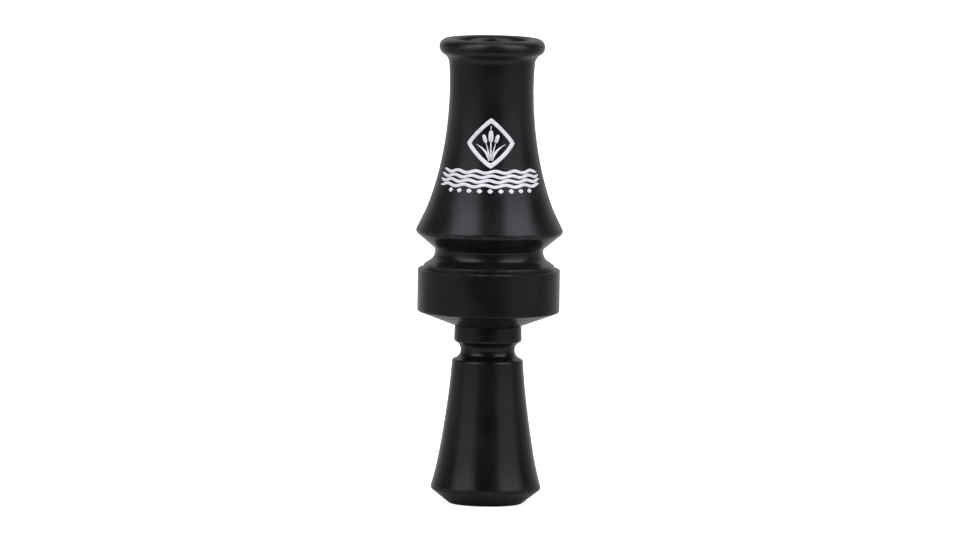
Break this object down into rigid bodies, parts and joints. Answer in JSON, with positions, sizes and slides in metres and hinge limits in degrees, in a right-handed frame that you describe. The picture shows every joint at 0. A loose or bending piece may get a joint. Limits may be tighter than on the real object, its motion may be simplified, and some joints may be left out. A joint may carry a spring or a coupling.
{
  "type": "duck call",
  "caption": "Hand-held duck call: flared barrel with a rounded mouthpiece and a band, plugged onto a bell-shaped insert that carries reeds on a tone board.",
  "frame": {"origin": "centre of the foot of the insert's bell, on the surface that the call stands on", "axes": "+Z along the bore, from the bell up to the mouthpiece; the reeds and the printed front face -Y; +X to the right seen from the front"},
  "size_m": [0.04, 0.04, 0.127],
  "materials": {
    "barrel_black": "satin black",
    "band_black": "satin black",
    "insert_black": "satin black",
    "tone_board_plastic": "matte black",
    "reed_film": "frosted off-white film",
    "wedge_cork": "natural cork",
    "o_ring_rubber": "greased black rubber",
    "print_ink": "white printing ink"
  },
  "bodies": {
    "insert": {"insert": "insert_black", "tone_board": "tone_board_plastic", "wedge": "wedge_cork"},
    "o_rings": {"lower_o_ring": "o_ring_rubber", "upper_o_ring": "o_ring_rubber"},
    "barrel": {"barrel": "barrel_black", "band": "band_black"},
    "lower_reed": {"lower_reed": "reed_film"},
    "upper_reed": {"upper_reed": "reed_film"}
  },
  "joints": [
    {"name": "barrel_twist", "type": "hinge", "parent": "insert", "child": "o_rings", "pos_m": [0, 0, 0.04875], "axis": [0, 0, 1], "continuous": true},
    {"name": "barrel_pull_off", "type": "slide", "parent": "o_rings", "child": "barrel", "axis": [0, 0, 1], "range_m": [0, 0.07]},
    {"name": "lower_reed_flex", "type": "hinge", "parent": "insert", "child": "lower_reed", "pos_m": [0, -0.00112, 0.071], "axis": [1, 0, 0], "range_deg": [-1.55, 1], "stiffness_Nm_per_rad": 0.0066, "deforming": ["lower_reed"]},
    {"name": "upper_reed_flex", "type": "hinge", "parent": "insert", "child": "upper_reed", "pos_m": [0, -0.00137, 0.071], "axis": [1, 0, 0], "range_deg": [-1.55, 1], "stiffness_Nm_per_rad": 0.0066, "deforming": ["upper_reed"]}
  ],
  "couplings": [
    {"joint": "upper_reed_flex", "follows": "lower_reed_flex", "ratio": 1}
  ]
}
